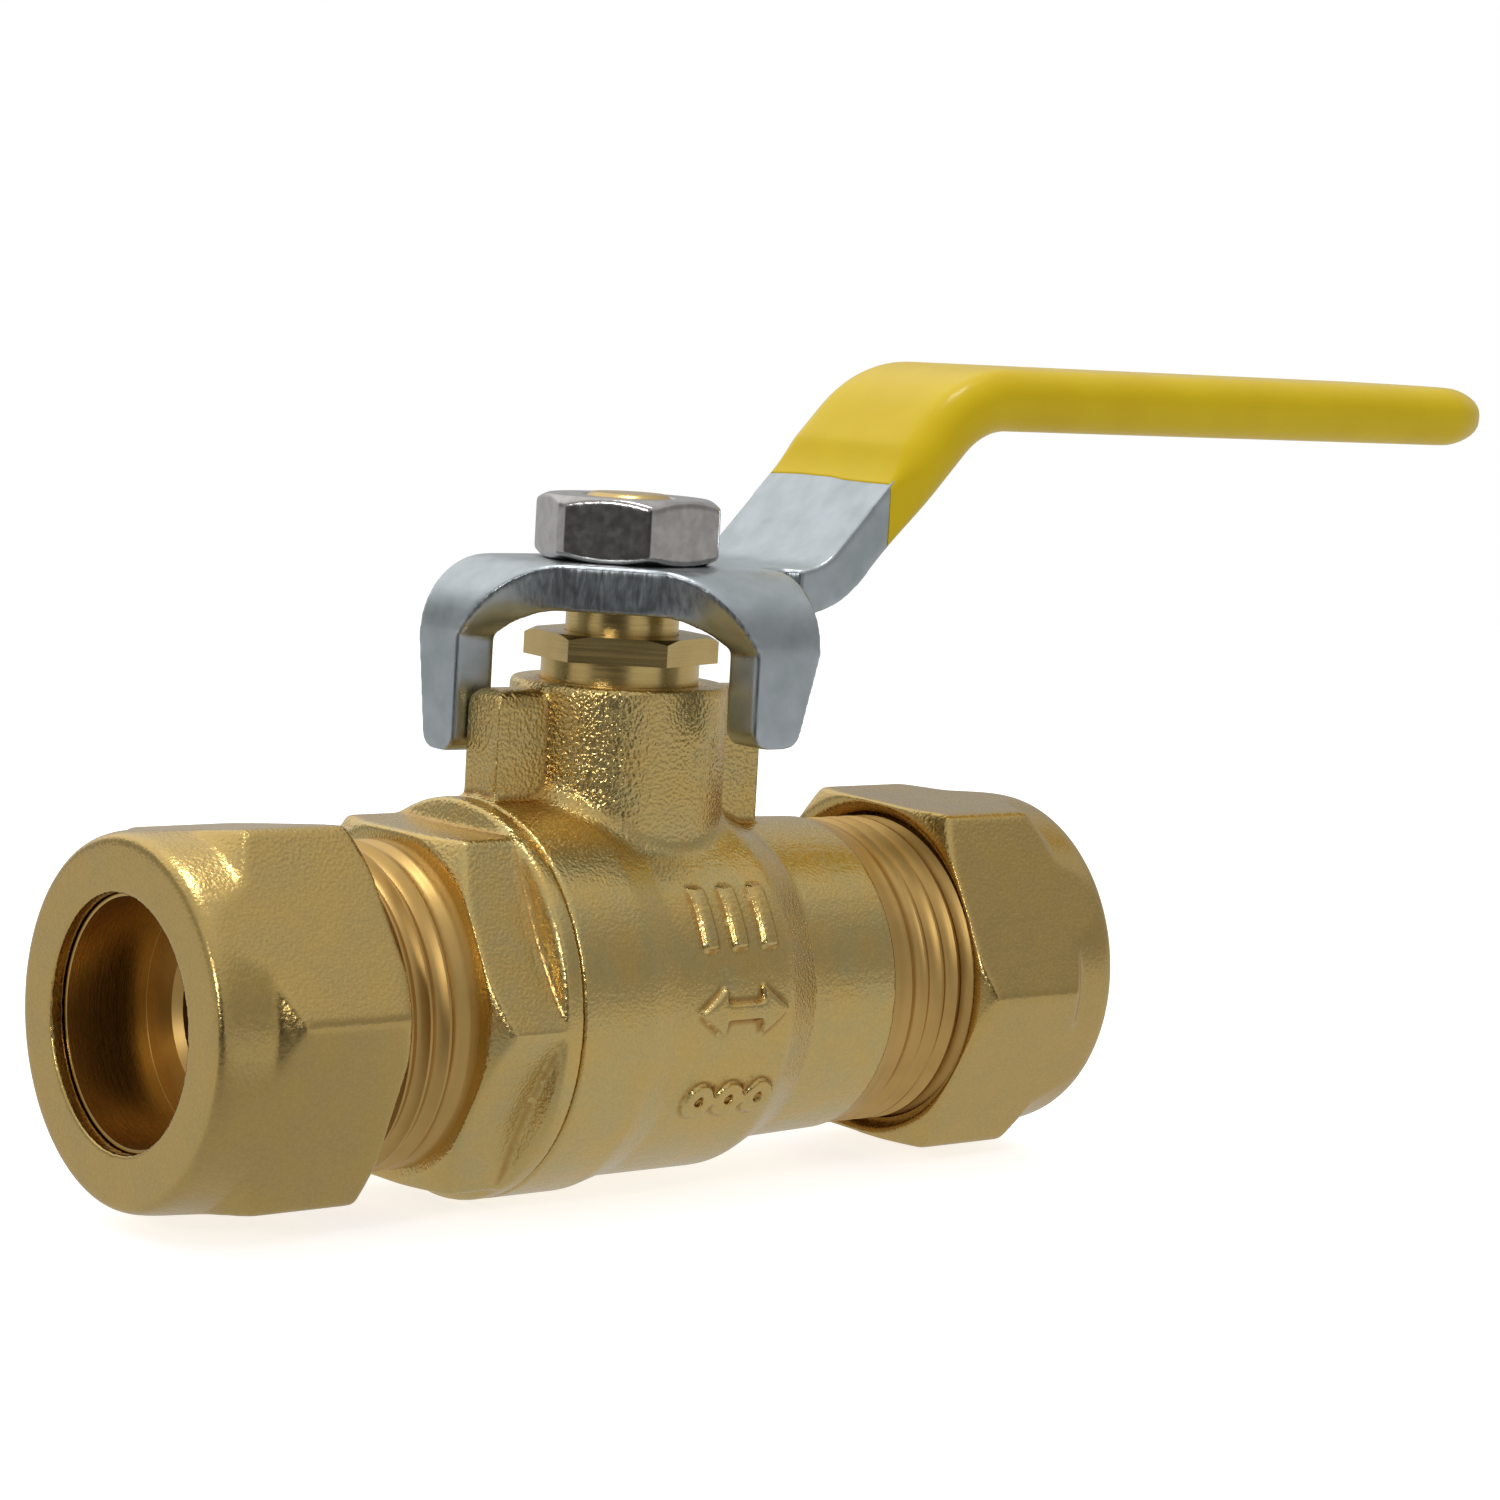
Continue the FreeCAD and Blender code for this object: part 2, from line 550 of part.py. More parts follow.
def swap_xy(shape):
    """Mirror a shape in the upright plane x = y."""
    return shape.mirror(ORIGIN, FreeCAD.Vector(1, -1, 0))


def lever():
    """The pressed steel lever: slotted plate on the stem, two stop wings, ramp and grip."""
    half = LEVER_WIDTH / 2.0
    bend_line = HEAD_REACH - BEND_OUTER_RADIUS
    band = lever_band(-SHEET / 2, SHEET / 2, -bend_line, GRIP_END_X, HEAD_REACH)
    plan = outline([
        (-bend_line, half), (GRIP_END_X, half, GRIP_CORNER_RADIUS), (GRIP_END_X, -half, GRIP_CORNER_RADIUS),
        (SIDE_WING_EDGE_X + 2.6, -half, 0.6), (SIDE_WING_EDGE_X + 1.9, -half + 1.0, 0.5),
        (SIDE_WING_EDGE_X, -half + 1.0), (SIDE_WING_EDGE_X, -bend_line),
        (bend_line - CORNER_CUT, -bend_line), (-bend_line, bend_line - CORNER_CUT),
    ], in_xy)
    plan.translate(FreeCAD.Vector(0, 0, PLATE_TOP_Z - 10.0))
    strip = band.common(plan.extrude(FreeCAD.Vector(0, 0, 40.0)))
    rear = head_wing(REAR_WING_BOTTOM_Z, half - 0.05, half - 1.1)
    side = swap_xy(head_wing(SIDE_WING_BOTTOM_Z, SIDE_WING_EDGE_X, SIDE_WING_EDGE_X - 1.6))
    hole = rod_z(PLATE_TOP_Z - SHEET - 1.0, PLATE_TOP_Z + 1.0, STEM_RADIUS + 0.02)
    half_flats = STEM_FLATS / 2.0 + 0.02
    hole = hole.common(block((-5, -half_flats, 20.0), (5, half_flats, 30.0)))
    return strip.multiFuse([rear, side]).cut(hole).removeSplitter()


def grip_sleeve():
    """The dipped vinyl coat over the ramp and grip, with round edges."""
    half = LEVER_WIDTH / 2.0 + VINYL
    steel_half = LEVER_WIDTH / 2.0
    outside = lever_band(-SHEET / 2 - VINYL, SHEET / 2 + VINYL, 0.0, GRIP_END_X + VINYL, half)
    outer_plan = outline([
        (VINYL_START_X, half), (GRIP_END_X + VINYL, half, GRIP_CORNER_RADIUS + VINYL),
        (GRIP_END_X + VINYL, -half, GRIP_CORNER_RADIUS + VINYL), (VINYL_START_X, -half),
    ], in_xy).extrude(FreeCAD.Vector(0, 0, 60.0))
    coat = outside.common(outer_plan)
    long_edges = [e for e in coat.Edges if e.BoundBox.XLength > 0.5 and e.BoundBox.XMin > VINYL_START_X - 0.01]
    coat = coat.makeFillet(1.4, long_edges)
    inside = lever_band(-SHEET / 2, SHEET / 2, 0.0, GRIP_END_X, steel_half)
    inner_plan = outline([
        (VINYL_START_X - 1.0, steel_half), (GRIP_END_X, steel_half, GRIP_CORNER_RADIUS),
        (GRIP_END_X, -steel_half, GRIP_CORNER_RADIUS), (VINYL_START_X - 1.0, -steel_half),
    ], in_xy).extrude(FreeCAD.Vector(0, 0, 60.0))
    return coat.cut(inside.common(inner_plan))


def lever_nut():
    """The thin hexagon nut that holds the lever on the stem, chamfered above and below."""
    corner = LEVER_NUT_ACROSS_FLATS / 2.0 / math.cos(math.radians(30.0))
    bar = hexagon_z(PLATE_TOP_Z, LEVER_NUT_TOP_Z, corner, LEVER_NUT_TURN)
    flat = LEVER_NUT_ACROSS_FLATS / 2.0
    turned = turn_about_z([
        (PLATE_TOP_Z, 0.0), (PLATE_TOP_Z, flat - 0.2), (PLATE_TOP_Z + 0.45, LEVER_NUT_CORNER_RADIUS),
        (LEVER_NUT_TOP_Z - 0.45, LEVER_NUT_CORNER_RADIUS), (LEVER_NUT_TOP_Z, flat - 0.2),
        (LEVER_NUT_TOP_Z, 0.0),
    ])
    return bar.common(turned).cut(rod_z(PLATE_TOP_Z - 1.0, LEVER_NUT_TOP_Z + 1.0, STEM_THREAD_RADIUS))


PARTS = {
    "valve_body": valve_body,
    "end_cap": end_cap,
    "body_seal_ring": body_seal_ring,
    "seat_ring_left": lambda: seat_ring(-1),
    "seat_ring_right": lambda: seat_ring(1),
    "ball": ball,
    "stem": stem,
    "stem_o_ring": stem_o_ring,
    "stem_thrust_washer": stem_thrust_washer,
    "packing_ring_lower": lambda: packing_ring(0),
    "packing_ring_upper": lambda: packing_ring(1),
    "gland_nut": gland_nut,
    "lever": lever,
    "grip_sleeve": grip_sleeve,
    "lever_nut": lever_nut,
    "compression_nut_left": lambda: compression_nut(-1, LEFT_NUT_TURN),
    "compression_nut_right": lambda: compression_nut(1, RIGHT_NUT_TURN),
    "olive_left": lambda: olive(-1),
    "olive_right": lambda: olive(1),
}

os.makedirs("parts", exist_ok=True)
for name, make in PARTS.items():
    shape = make()
    print(name, "valid", shape.isValid(), "solids", len(shape.Solids), "volume", round(shape.Volume, 1))
    shape.exportStep("parts/" + name + ".step")
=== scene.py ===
import math

import bmesh
import bpy
from mathutils import Matrix, Vector


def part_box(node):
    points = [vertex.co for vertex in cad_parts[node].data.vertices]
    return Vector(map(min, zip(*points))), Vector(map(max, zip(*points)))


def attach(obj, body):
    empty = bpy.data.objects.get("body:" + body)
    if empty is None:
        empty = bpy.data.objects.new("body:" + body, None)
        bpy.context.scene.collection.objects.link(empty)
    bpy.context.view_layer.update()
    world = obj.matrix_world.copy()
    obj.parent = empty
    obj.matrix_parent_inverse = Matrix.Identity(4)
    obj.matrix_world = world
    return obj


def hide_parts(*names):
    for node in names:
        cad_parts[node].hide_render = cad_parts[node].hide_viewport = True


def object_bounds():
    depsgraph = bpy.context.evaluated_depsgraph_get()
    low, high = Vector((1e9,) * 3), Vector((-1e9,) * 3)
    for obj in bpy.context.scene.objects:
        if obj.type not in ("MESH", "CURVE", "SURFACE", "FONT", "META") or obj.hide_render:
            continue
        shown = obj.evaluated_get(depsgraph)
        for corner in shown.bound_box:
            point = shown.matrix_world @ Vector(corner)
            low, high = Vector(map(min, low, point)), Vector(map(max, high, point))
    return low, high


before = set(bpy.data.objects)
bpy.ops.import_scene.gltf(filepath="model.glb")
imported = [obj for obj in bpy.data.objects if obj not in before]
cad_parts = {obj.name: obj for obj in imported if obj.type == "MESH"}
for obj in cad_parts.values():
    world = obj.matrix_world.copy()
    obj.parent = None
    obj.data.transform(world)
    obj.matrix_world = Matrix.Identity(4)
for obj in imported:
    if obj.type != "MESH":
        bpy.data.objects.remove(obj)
cad_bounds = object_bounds()

# A brass lever ball valve with compression ends.
# Lengths below are in millimetres, and MM turns them to metres.
MM = 0.001
SIDES = {"left": -1, "right": 1}

# --- camera ---
CAMERA_PLACE = (-164.66, -210.70, 44.93)
CAMERA_AZIMUTH = 39.871          # degrees from +Y towards +X
CAMERA_DIP = 6.177
CAMERA_ROLL = 3.233
CAMERA_LENS = 99.60

# --- studio ---
ROOM_LEVEL = 0.45
ROOM = (                         # direction, inner and outer angle in degrees, brightness
    ((0.0, 0.0, 1.0), 20.0, 75.0, 0.70),
    ((-0.13, 0.76, 0.63), 15.0, 50.0, 1.10),
    ((-0.64, 0.76, -0.05), 15.0, 45.0, 0.33),
    ((0.66, -0.75, -0.05), 20.0, 60.0, 0.34),
    ((-0.80, -0.60, 0.0), 16.0, 40.0, 0.05),
)
DIM_SIDE = (-0.80, -0.60, 0.0)
DIM_SPREAD = 0.86                # cosine of half the angle of the dark wedge on the floor
FLOOR_LIFT = 0.70
FLOOR_GLOW = 0.58
FLOOR_DARK = 0.07                # the floor's glow on the camera's side, where the photographer stood

# --- nut threads ---
THREAD_RADIUS = 10.36
THREAD_DEPTH = 0.52
THREAD_PITCH = 1.411
THREAD_LENGTH = 13.8
RUN_OUT = 3.4                    # the thread's grooves fade out over this length before the shoulder
LEFT_SHOULDER = 17.4
RIGHT_SHOULDER = 16.3
TUBE_STOP_DEPTH = 11.95
TUBE_SOCKET_RADIUS = 7.6
PORT_RADIUS = 5.0
SEAT_CONE_RADIUS = 9.0
SEAT_CONE_LENGTH = 1.35
SPIGOT_OVERLAP = 0.4             # how far the thread piece reaches into its forging
THREAD_POINT = 0.9               # the thread ends this far before the spigot's end
THREAD_CLEAR = 15.0              # a radius that clears the whole threaded end
END_CHAMFER = 0.25
STOP_CHAMFER = 0.5
OLIVE_START = 12.5               # counted from the shoulder
OLIVE_END = 18.17                # reaches the nut's lip
OLIVE_RADIUS = 8.45
LIP_RADIUS = 7.85                # the nut's lip is drawn this wide, so that the olive's end shows inside it
LIP_START_X = 34.4
NUT_FRONT_X = 33.0               # beyond it the bore is the tube hole, before it the thread's clearance

# --- lever and its vinyl coat ---
SHEET = 3.0
LEVER_WIDTH = 12.5
PLATE_MIDDLE_Z = 26.3
RAMP_ANGLE = 46.0
RAMP_FOOT_X = 12.1
GRIP_MIDDLE_Z = 39.2
GRIP_BEND_RADIUS = 8.0
VINYL = 0.62
VINYL_EDGE = 0.06                # the coat's thickness where the dip began
VINYL_GROWTH = 4.5               # the length over which it reaches its full thickness
VINYL_START_X = 16.9
TIP_LENGTH = 9.0                 # the end of the coat, where its rings stand closer
HOLLOW_END = 2.4                 # the coat is solid over this length at its tip
STEEL_END_SHRINK = 1.2           # the steel's hidden end is drawn short, so that the round tip covers it
LEVER_CUT_RADIUS = 60.0


# ---------------------------------------------------------------- node helpers

class Nodes:
    """A material's node tree with short calls for the few kinds of node used here."""

    def __init__(self, name):
        self.material = bpy.data.materials.new(name)
        self.material.use_nodes = True
        self.tree = self.material.node_tree
        self.shader = self.tree.nodes["Principled BSDF"]
        self.coords = self.tree.nodes.new("ShaderNodeTexCoord").outputs["Object"]

    def link(self, a, b):
        self.tree.links.new(a, b)

    def set(self, **values):
        """Plain values or sockets for the shader's inputs, with _ for a space in their names."""
        for name, value in values.items():
            socket = self.shader.inputs[name.replace("_", " ")]
            if isinstance(value, bpy.types.NodeSocket):
                self.link(value, socket)
            else:
                socket.default_value = value

    def stretched(self, scale):
        """The object's own coordinates, scaled per axis."""
        node = self.tree.nodes.new("ShaderNodeMapping")
        node.inputs["Scale"].default_value = scale
        self.link(self.coords, node.inputs["Vector"])
        return node.outputs["Vector"]

    def round_x(self):
        """Distance along X plus distance from the X axis, for rings round a turned part on any face."""
        split = self.tree.nodes.new("ShaderNodeSeparateXYZ")
        self.link(self.coords, split.inputs[0])
        squares = [self.math("MULTIPLY", split.outputs[i], split.outputs[i]) for i in (1, 2)]
        radius = self.math("SQRT", self.math("ADD", *squares))
        joined = self.tree.nodes.new("ShaderNodeCombineXYZ")
        self.link(self.math("ADD", split.outputs[0], radius), joined.inputs[0])
        return joined.outputs[0]

    def noise(self, size, detail=2.0, roughness=0.5, coords=None):
        """Noise from 0 to 1 whose features are about size millimetres across."""
        node = self.tree.nodes.new("ShaderNodeTexNoise")
        node.inputs["Scale"].default_value = 1.0 / (size * MM)
        node.inputs["Detail"].default_value = detail
        node.inputs["Roughness"].default_value = roughness
        self.link(coords or self.coords, node.inputs["Vector"])
        return node.outputs["Fac"]

    def ramp(self, value, low, high, start, end):
        """A value mapped from low..high to start..end, held at both ends."""
        node = self.tree.nodes.new("ShaderNodeMapRange")
        for socket, number in zip(list(node.inputs)[1:5], (low, high, start, end)):
            socket.default_value = number
        self.link(value, node.inputs["Value"])
        return node.outputs["Result"]

    def mix(self, factor, a, b):
        """A colour between a and b."""
        node = self.tree.nodes.new("ShaderNodeMix")
        node.data_type = "RGBA"
        inputs = {s.identifier: s for s in node.inputs}
        for key, value in (("Factor_Float", factor), ("A_Color", a), ("B_Color", b)):
            if isinstance(value, bpy.types.NodeSocket):
                self.link(value, inputs[key])
            elif isinstance(value, tuple):
                inputs[key].default_value = (*value, 1.0)
            else:
                inputs[key].default_value = value
        return {s.identifier: s for s in node.outputs}["Result_Color"]

    def blend(self, factor, a, b):
        """A shader between a and b."""
        node = self.tree.nodes.new("ShaderNodeMixShader")
        for socket, value in zip(node.inputs, (factor, a, b)):
            self.link(value, socket)
        return node.outputs[0]

    def math(self, operation, a, b=0.0):
        node = self.tree.nodes.new("ShaderNodeMath")
        node.operation = operation
        for socket, value in zip(node.inputs, (a, b)):
            if isinstance(value, bpy.types.NodeSocket):
                self.link(value, socket)
            else:
                socket.default_value = value
        return node.outputs["Value"]

    def bump(self, height, depth, strength=1.0, under=None):
        """A normal from a height of 0 to 1 that stands depth millimetres."""
        node = self.tree.nodes.new("ShaderNodeBump")
        node.inputs["Strength"].default_value = strength
        node.inputs["Distance"].default_value = depth * MM
        self.link(height, node.inputs["Height"])
        if under:
            self.link(under, node.inputs["Normal"])
        return node.outputs["Normal"]


# ---------------------------------------------------------------- materials

def forged_brass(name, golden, olive, grain):
    """Shot-blasted forging: fine dimples that sparkle, soft blotches, and painted shade: hollows darkened
    and browned, standing in for shade and brass-on-brass reflection.
    """
    n = Nodes(name)
    blotch = n.ramp(n.noise(2.6, 3.0), 0.35, 0.65, 0.0, 1.0)
    speck = n.ramp(n.noise(0.22, 2.0), 0.35, 0.70, 0.0, 1.0)
    colour = n.mix(blotch, golden, olive)
    bright = tuple(min(1.0, c * 1.25) for c in golden)
    colour = n.mix(n.math("MULTIPLY", speck, 0.35), colour, bright)
    # Painted shade and painted reflection: concave places, found by pointiness, are mixed towards dark
    # brown as if shaded and lit by the brass nearby.
    point = n.tree.nodes.new("ShaderNodeNewGeometry").outputs["Pointiness"]
    colour = n.mix(n.ramp(point, 0.494, 0.476, 0.0, 0.8), colour, (0.42, 0.22, 0.05))
    rough = n.ramp(n.noise(0.5, 2.0), 0.3, 0.7, 0.20, 0.31)
    place = n.tree.nodes.new("ShaderNodeSeparateXYZ")
    n.link(n.coords, place.inputs[0])
    coarse = n.ramp(place.outputs["Z"], 0.008, 0.014, 0.30, 1.0)
    dimples = n.bump(n.math("MULTIPLY", n.noise(0.22, 0.5), coarse), 0.10, grain)
    fine = n.bump(n.noise(0.14, 1.0), 0.018, grain, dimples)
    n.set(Base_Color=colour, Metallic=1.0, Roughness=rough, Normal=fine)
    return n.material


def turned_brass(name, colour, dark, upright, rough):
    """Machined brass: fine turning marks round the stem's axis if upright, else round the pipe's."""
    n = Nodes(name)
    coords = n.stretched((0.02, 0.02, 1.0)) if upright else n.round_x()
    marks = n.noise(0.16, 2.0, coords=coords)
    stain = n.ramp(n.noise(2.2, 2.0), 0.35, 0.75, 0.0, 0.6)
    n.set(Base_Color=n.mix(stain, colour, dark), Metallic=1.0,
          Roughness=n.ramp(marks, 0.3, 0.7, rough, rough + 0.08), Normal=n.bump(marks, 0.005, 0.4))
    return n.material


def zinc_plate(name):
    """Bright zinc on pressed steel: bluish and cloudy; faces turned towards the camera's side are darker
    and streaked, partly the cut mouth's own finish and partly painted shade.
    """
    n = Nodes(name)
    cloud = n.ramp(n.noise(2.2, 4.0), 0.35, 0.65, 0.0, 1.0)
    colour = n.mix(cloud, (0.42, 0.47, 0.485), (0.51, 0.555, 0.585))
    # Faces turned towards -X and -Y, the side facing the camera, are picked by their normal and given a
    # dark streaked colour: partly the cut mouth's own rough finish, partly painted shade on that side.
    facing = n.tree.nodes.new("ShaderNodeVectorMath")
    facing.operation = "DOT_PRODUCT"
    facing.inputs[1].default_value = (-0.7071, -0.7071, 0.0)
    n.link(n.tree.nodes["Texture Coordinate"].outputs["Normal"], facing.inputs[0])
    sheared_and_shaded = n.ramp(facing.outputs["Value"], 0.84, 0.93, 0.0, 1.0)
    streaks = n.noise(0.30, 3.0, coords=n.stretched((1.0, 1.0, 0.22)))
    torn_and_shaded = n.mix(n.ramp(streaks, 0.3, 0.7, 0.0, 1.0), (0.12, 0.13, 0.14), (0.34, 0.36, 0.37))
    rough = n.ramp(n.noise(0.9, 3.0), 0.3, 0.7, 0.27, 0.37)
    uneven = n.bump(n.math("MULTIPLY", streaks, sheared_and_shaded), 0.05, 0.7)
    n.set(Base_Color=n.mix(n.math("MULTIPLY", sheared_and_shaded, 0.8), colour, torn_and_shaded), Metallic=1.0, Roughness=rough,
          Normal=n.bump(n.noise(3.0, 2.0), 0.03, 0.4, uneven))
    return n.material


def nut_steel(name):
    """Dull machined stainless."""
    n = Nodes(name)
    mottle = n.ramp(n.noise(0.9, 3.0), 0.35, 0.65, 0.0, 1.0)
    marks = n.noise(0.6, 2.0)
    n.set(Base_Color=n.mix(mottle, (0.40, 0.38, 0.36), (0.50, 0.48, 0.46)), Metallic=1.0,
          Roughness=n.ramp(marks, 0.3, 0.7, 0.15, 0.22), Normal=n.bump(marks, 0.008, 0.3))
    return n.material


def yellow_vinyl(name):
    """Dipped vinyl: glossy, with a slow ripple and a faint orange peel."""
    n = Nodes(name)
    shade = n.ramp(n.noise(6.0, 2.0), 0.35, 0.65, 0.0, 1.0)
    peel = n.bump(n.noise(0.8, 1.0), 0.010, 0.5)
    ripple = n.bump(n.noise(5.0, 1.0), 0.08, 0.4, peel)
    rough = n.ramp(n.noise(1.2, 2.0), 0.3, 0.7, 0.30, 0.38)
    n.set(Base_Color=n.mix(shade, (0.82, 0.57, 0.003), (0.86, 0.62, 0.005)), Roughness=rough,
          Specular_IOR_Level=0.2, Coat_Weight=0.13, Coat_Roughness=0.07, Normal=ripple)
    return n.material


def chrome_ball(name):
    """Polished chrome with a slight haze."""
    n = Nodes(name)
    haze = n.noise(0.8, 3.0)
    n.set(Base_Color=n.mix(haze, (0.78, 0.79, 0.80), (0.86, 0.86, 0.87)), Metallic=1.0,
          Roughness=n.ramp(haze, 0.3, 0.7, 0.05, 0.10))
    return n.material


def white_seal(name):
    """Waxy white PTFE."""
    n = Nodes(name)
    cloud = n.noise(0.8, 3.0)
    n.set(Base_Color=n.mix(cloud, (0.80, 0.80, 0.77), (0.88, 0.88, 0.86)), Roughness=0.5,
          Normal=n.bump(n.noise(0.2, 2.0), 0.01, 0.4))
    return n.material


def black_rubber(name):
    """Matt black rubber."""
    n = Nodes(name)
    cloud = n.noise(0.4, 3.0)
    n.set(Base_Color=n.mix(cloud, (0.02, 0.02, 0.02), (0.04, 0.04, 0.04)), Roughness=0.65,
          Normal=n.bump(cloud, 0.01, 0.4))
    return n.material


GOLDEN = (0.66, 0.46, 0.16)
OLIVE = (0.58, 0.46, 0.20)
body_brass = forged_brass("brass_forged", GOLDEN, OLIVE, 0.9)
cap_brass = forged_brass("brass_forged_cap", GOLDEN, OLIVE, 0.8)
nut_brass = forged_brass("brass_nut", (0.59, 0.41, 0.14), (0.54, 0.39, 0.15), 0.55)
thread_brass = turned_brass("brass_turned_x", (0.63, 0.41, 0.14), (0.54, 0.34, 0.11), False, 0.40)
gland_brass = turned_brass("brass_turned", (0.68, 0.50, 0.20), (0.58, 0.40, 0.14), True, 0.22)
olive_brass = turned_brass("brass_olive", (0.62, 0.42, 0.16), (0.52, 0.34, 0.11), False, 0.24)
plate_steel = zinc_plate("zinc_steel")
top_nut_steel = nut_steel("stainless_nut")
vinyl = yellow_vinyl("yellow_vinyl")
ball_chrome = chrome_ball("chromed_ball")
ptfe = white_seal("ptfe")
rubber = black_rubber("rubber_seal")


# ---------------------------------------------------------------- piece helpers

def place_piece(obj, material, body, nodes):
    """Give a new piece its finish, its body and the CAD nodes that it stands for."""
    obj.data.materials.clear()
    obj.data.materials.append(material)
    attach(obj, body)
    if nodes:
        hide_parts(*nodes)


def keep_node(name, material):
    """Paint a CAD node that shows as it is."""
    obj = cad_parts[name]
    if not obj.material_slots:
        obj.data.materials.append(material)
    for index in range(len(obj.material_slots)):
        obj.material_slots[index].material = material


def baked(obj):
    """The object's mesh with its modifiers applied, in place of the old one."""
    graph = bpy.context.evaluated_depsgraph_get()
    mesh = bpy.data.meshes.new_from_object(obj.evaluated_get(graph))
    obj.modifiers.clear()
    obj.data = mesh
    return obj


def soft_copy(node, name, voxel, rounds, cut=None, wear=None):
    """A copy of a CAD node with worn edges: cut by a solid, remeshed at voxel millimetres and smoothed.

    wear gives each point's share of the smoothing, from its place in millimetres.
    """
    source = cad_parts[node]
    obj = bpy.data.objects.new(name, source.data.copy())
    bpy.context.scene.collection.objects.link(obj)
    if cut:
        boolean = obj.modifiers.new("cut", "BOOLEAN")
        boolean.operation = "DIFFERENCE"
        boolean.object = cut
    remesh = obj.modifiers.new("remesh", "REMESH")
    remesh.mode = "VOXEL"
    remesh.voxel_size = voxel * MM
    baked(obj)
    if cut:
        bpy.data.objects.remove(cut)
    smooth = obj.modifiers.new("smooth", "SMOOTH")
    smooth.factor = 0.5
    smooth.iterations = rounds
    if wear:
        group = obj.vertex_groups.new(name="wear")
        for vertex in obj.data.vertices:
            group.add([vertex.index], wear(vertex.co / MM), "REPLACE")
        smooth.vertex_group = "wear"
    baked(obj)
    for polygon in obj.data.polygons:
        polygon.use_smooth = True
    return obj


def mesh_object(name, vertices, faces):
    """A smooth-shaded object from vertices in millimetres and index faces."""
    mesh = bpy.data.meshes.new(name)
    mesh.from_pydata([Vector(v) * MM for v in vertices], [], faces)
    mesh.validate()
    for polygon in mesh.polygons:
        polygon.use_smooth = True
    obj = bpy.data.objects.new(name, mesh)
    bpy.context.scene.collection.objects.link(obj)
    return obj


def close_mesh(obj):
    """Merge points that coincide, drop faces without area and turn every face outwards."""
    work = bmesh.new()
    work.from_mesh(obj.data)
    bmesh.ops.remove_doubles(work, verts=work.verts, dist=0.002 * MM)
    bmesh.ops.dissolve_degenerate(work, edges=work.edges, dist=0.001 * MM)
    bmesh.ops.recalc_face_normals(work, faces=work.faces)
    for face in work.faces:
        face.smooth = True
    work.to_mesh(obj.data)
    work.free()


def solid_tube(low, high, radius, segments=64):
    """A plain cylinder along X, used only to cut other meshes."""
    rings = []
    for x in (low, high):
        for step in range(segments):
            angle = 2 * math.pi * step / segments
            rings.append((x, radius * math.cos(angle), radius * math.sin(angle)))
    faces = [(i, (i + 1) % segments, segments + (i + 1) % segments, segments + i) for i in range(segments)]
    faces.append(tuple(reversed(range(segments))))
    faces.append(tuple(range(segments, 2 * segments)))
    return mesh_object("cutter", rings, faces)


# ---------------------------------------------------------------- threaded spigots

def smooth_step(value):
    """0 below 0, 1 above 1 and a smooth rise between."""
    value = min(1.0, max(0.0, value))
    return value * value * (3.0 - 2.0 * value)


def thread_height(phase):
    """Height from 0 at the thread's root to 1 at its crest, over one pitch: round root, narrow crest."""
    crest = 0.06
    away = max(0.0, abs(phase - 0.5) - crest) / (0.5 - crest)
    return (1.0 - away) ** 1.7


def shoulder_of(side):
    """How far from the valve's centre the nut thread starts on a side."""
    return RIGHT_SHOULDER if side > 0 else LEFT_SHOULDER


def spigot(name, side):
    """The threaded end with a true right-hand helix outside and the tube socket inside."""
    shoulder = shoulder_of(side)
    around = 144
    per_pitch = (0.0, 0.12, 0.24, 0.35, 0.44, 0.56, 0.65, 0.76, 0.88)
    start = shoulder - SPIGOT_OVERLAP
    end = shoulder + THREAD_LENGTH
    stop = shoulder + TUBE_STOP_DEPTH
    first = shoulder - 2 * THREAD_PITCH
    last = end - THREAD_POINT
    turns = int(THREAD_LENGTH / THREAD_PITCH) + 4
    samples = [(turn + p) * THREAD_PITCH for turn in range(turns) for p in per_pitch]
    root_radius = THREAD_RADIUS - THREAD_DEPTH
    inner = [
        (end, root_radius - END_CHAMFER), (end, SEAT_CONE_RADIUS),
        (end - SEAT_CONE_LENGTH, TUBE_SOCKET_RADIUS), (stop, TUBE_SOCKET_RADIUS),
        (stop, PORT_RADIUS + STOP_CHAMFER), (stop - STOP_CHAMFER, PORT_RADIUS), (start, PORT_RADIUS),
    ]
    vertices = []
    for step in range(around):
        share = step / around
        angle = 2 * math.pi * share
        ring = []
        for sample in samples:
            x = first + sample + THREAD_PITCH * share
            run_out = smooth_step((x - shoulder) / RUN_OUT)
            point_in = smooth_step((last - x) / 0.5)
            groove = THREAD_DEPTH * (1.0 - thread_height((sample / THREAD_PITCH) % 1.0)) * run_out
            radius = (THREAD_RADIUS - groove) * point_in + root_radius * (1.0 - point_in)
            ring.append((min(max(x, start), end - END_CHAMFER), radius))
        for x, radius in ring + inner:
            vertices.append((side * x, side * radius * math.cos(angle), radius * math.sin(angle)))
    outer = len(samples)
    count = outer + len(inner)
    pitch_step = len(per_pitch)
    faces = []
    for step in range(around):
        here = step * count
        wraps = step == around - 1
        there = 0 if wraps else here + count
        for j in range(outer - 1):
            k = j + pitch_step if wraps else j
            k = min(k, outer - 1)
            k_next = min(k + 1, outer - 1)
            faces.append((here + j, here + j + 1, there + k_next, there + k))
        for j in range(outer - 1, count - 1):
            faces.append((here + j, here + j + 1, there + j + 1, there + j))
        faces.append((here + count - 1, here, there, there + count - 1))
    obj = mesh_object(name, vertices, faces)
    close_mesh(obj)
    obj.data.set_sharp_from_angle(angle=math.radians(28))
    return obj


